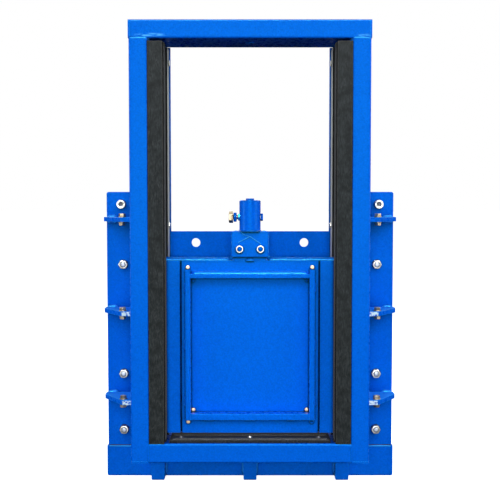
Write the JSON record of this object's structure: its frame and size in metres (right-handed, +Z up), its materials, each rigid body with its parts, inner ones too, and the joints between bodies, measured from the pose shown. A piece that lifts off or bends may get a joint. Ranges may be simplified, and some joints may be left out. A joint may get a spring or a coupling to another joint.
{
  "type": "wall-mounted sluice gate",
  "caption": "Welded frame with black plastic guides, wall flanges and a leaf that slides up to open a square water opening.",
  "frame": {"origin": "on the flat wall face of the sill plate, in the middle, level with the underside of the bottom beam", "axes": "+X to the right seen from the front, +Y out of the back into the wall, +Z up along the leaf's travel"},
  "size_m": [0.662, 0.13, 1.0235],
  "materials": {
    "blue_paint": "gloss enamel",
    "black_guide": "sawn polyethylene",
    "seal_rubber": "matt rubber",
    "bright_steel": "stainless",
    "zinc_steel": "yellow zinc plate"
  },
  "bodies": {
    "frame": {"bottom_beam": "blue_paint", "end_caps": "blue_paint", "foot_ribs": "blue_paint", "guide_screws": "bright_steel", "head_plate": "blue_paint", "head_seal": "black_guide", "left_anchor_bolts": "bright_steel", "left_back_bar": "blue_paint", "left_front_guide": "black_guide", "left_lug_bolts": "zinc_steel", "left_lugs": "blue_paint", "left_middle_guide": "black_guide", "left_post": "blue_paint", "left_rear_guide": "black_guide", "left_wall_flange": "blue_paint", "right_anchor_bolts": "bright_steel", "right_back_bar": "blue_paint", "right_front_guide": "black_guide", "right_lug_bolts": "zinc_steel", "right_lugs": "blue_paint", "right_middle_guide": "black_guide", "right_post": "blue_paint", "right_rear_guide": "black_guide", "right_wall_flange": "blue_paint", "sill_plate": "blue_paint", "sill_seal": "seal_rubber", "sill_seal_screws": "bright_steel", "top_beam": "blue_paint"},
    "leaf": {"coupling_lock_bolt": "zinc_steel", "cross_ribs": "blue_paint", "hoist_bolts": "zinc_steel", "hoist_bracket": "blue_paint", "hoist_lug": "blue_paint", "leaf_face_frame": "blue_paint", "leaf_plate": "blue_paint", "leaf_studs": "zinc_steel", "left_edge_bar": "blue_paint", "right_edge_bar": "blue_paint", "seam_strips": "seal_rubber", "side_ribs": "blue_paint", "stem_coupling": "blue_paint"}
  },
  "joints": [
    {"name": "leaf_lift", "type": "slide", "parent": "frame", "child": "leaf", "axis": [0, 0, 1], "range_m": [0, 0.33]}
  ]
}
